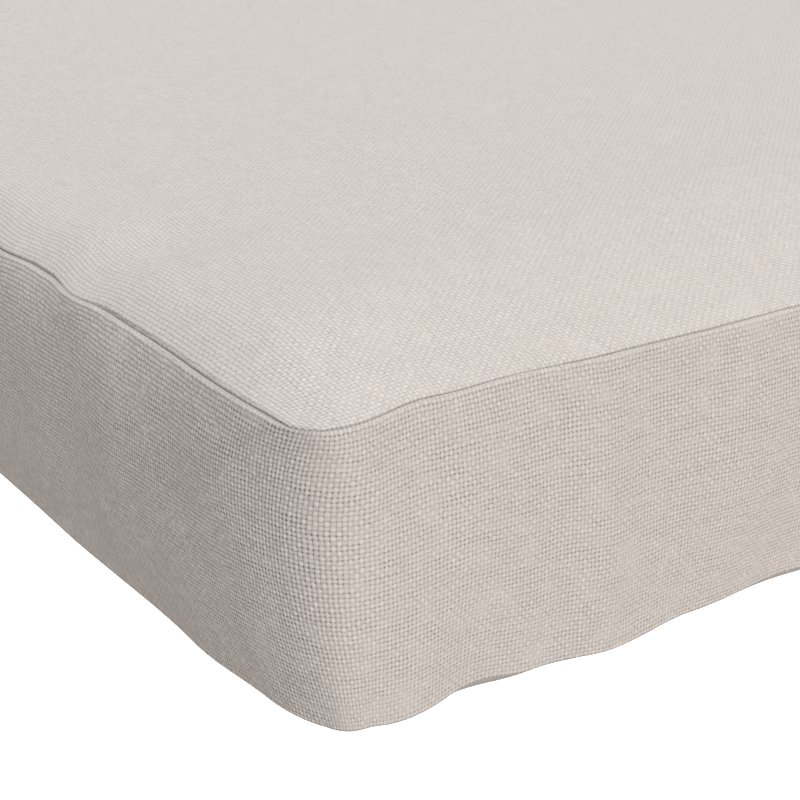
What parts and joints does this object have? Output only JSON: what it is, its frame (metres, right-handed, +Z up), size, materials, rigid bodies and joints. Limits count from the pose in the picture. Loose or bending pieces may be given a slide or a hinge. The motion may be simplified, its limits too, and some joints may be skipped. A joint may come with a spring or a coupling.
{
  "type": "bench cushion",
  "caption": "Box-edge bench cushion in greige plain-woven cloth: a domed top panel and a boxing band joined by plain, softly waving seams.",
  "frame": {"origin": "middle of the underside, on the surface that the cushion rests on", "axes": "+X along the bench, +Y across it towards its back, +Z up out of the top panel"},
  "size_m": [1.2323, 0.519, 0.0915],
  "materials": {
    "woven_cloth": "matt greige plain weave with small dark holes between its threads"
  },
  "bodies": {
    "root": {"cushion": "woven_cloth"}
  },
  "joints": []
}
